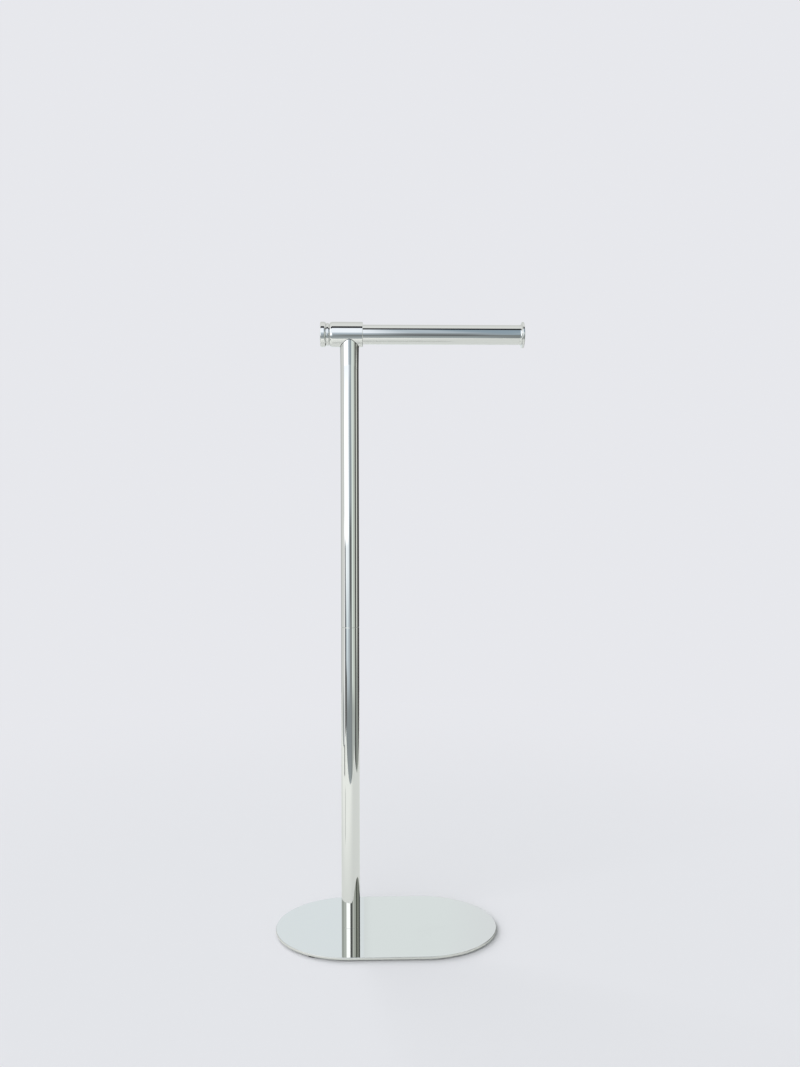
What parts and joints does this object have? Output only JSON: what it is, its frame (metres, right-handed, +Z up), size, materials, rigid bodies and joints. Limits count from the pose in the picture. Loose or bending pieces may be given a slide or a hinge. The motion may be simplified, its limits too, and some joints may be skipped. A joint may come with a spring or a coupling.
{
  "type": "freestanding toilet paper holder",
  "caption": "Freestanding toilet paper holder: flat stadium base plate, jointed round pole, tee sleeve with turned finial and a horizontal arm with a flared end cap, in polished chrome.",
  "frame": {"origin": "middle of the object's bounding box seen from above, on the floor under the feet", "axes": "+Z up along the pole, +X along the arm from the finial towards the flared cap, +Y away from the viewer of the front"},
  "size_m": [0.2578, 0.155, 0.6309],
  "materials": {
    "polished_chrome": "mirror-polished bright chrome on steel",
    "plain_steel": "plain machined and zinc-plated steel",
    "turned_brass": "turned brass, unpolished",
    "foot_rubber": "matt black rubber discs"
  },
  "bodies": {
    "root": {"base_plate": "polished_chrome", "front_left_foot": "foot_rubber", "front_right_foot": "foot_rubber", "back_left_foot": "foot_rubber", "back_right_foot": "foot_rubber", "base_screw": "plain_steel", "foot_insert": "plain_steel", "lower_pole_tube": "polished_chrome", "lower_joint_insert": "turned_brass", "joint_stud": "plain_steel", "upper_joint_insert": "turned_brass", "upper_pole_tube": "polished_chrome", "pole_top_plug": "turned_brass", "tee_sleeve": "polished_chrome", "tee_screw": "plain_steel", "finial": "polished_chrome", "finial_stud": "plain_steel", "arm_plug": "turned_brass", "arm_tube": "polished_chrome", "arm_end_cap": "polished_chrome"}
  },
  "joints": []
}
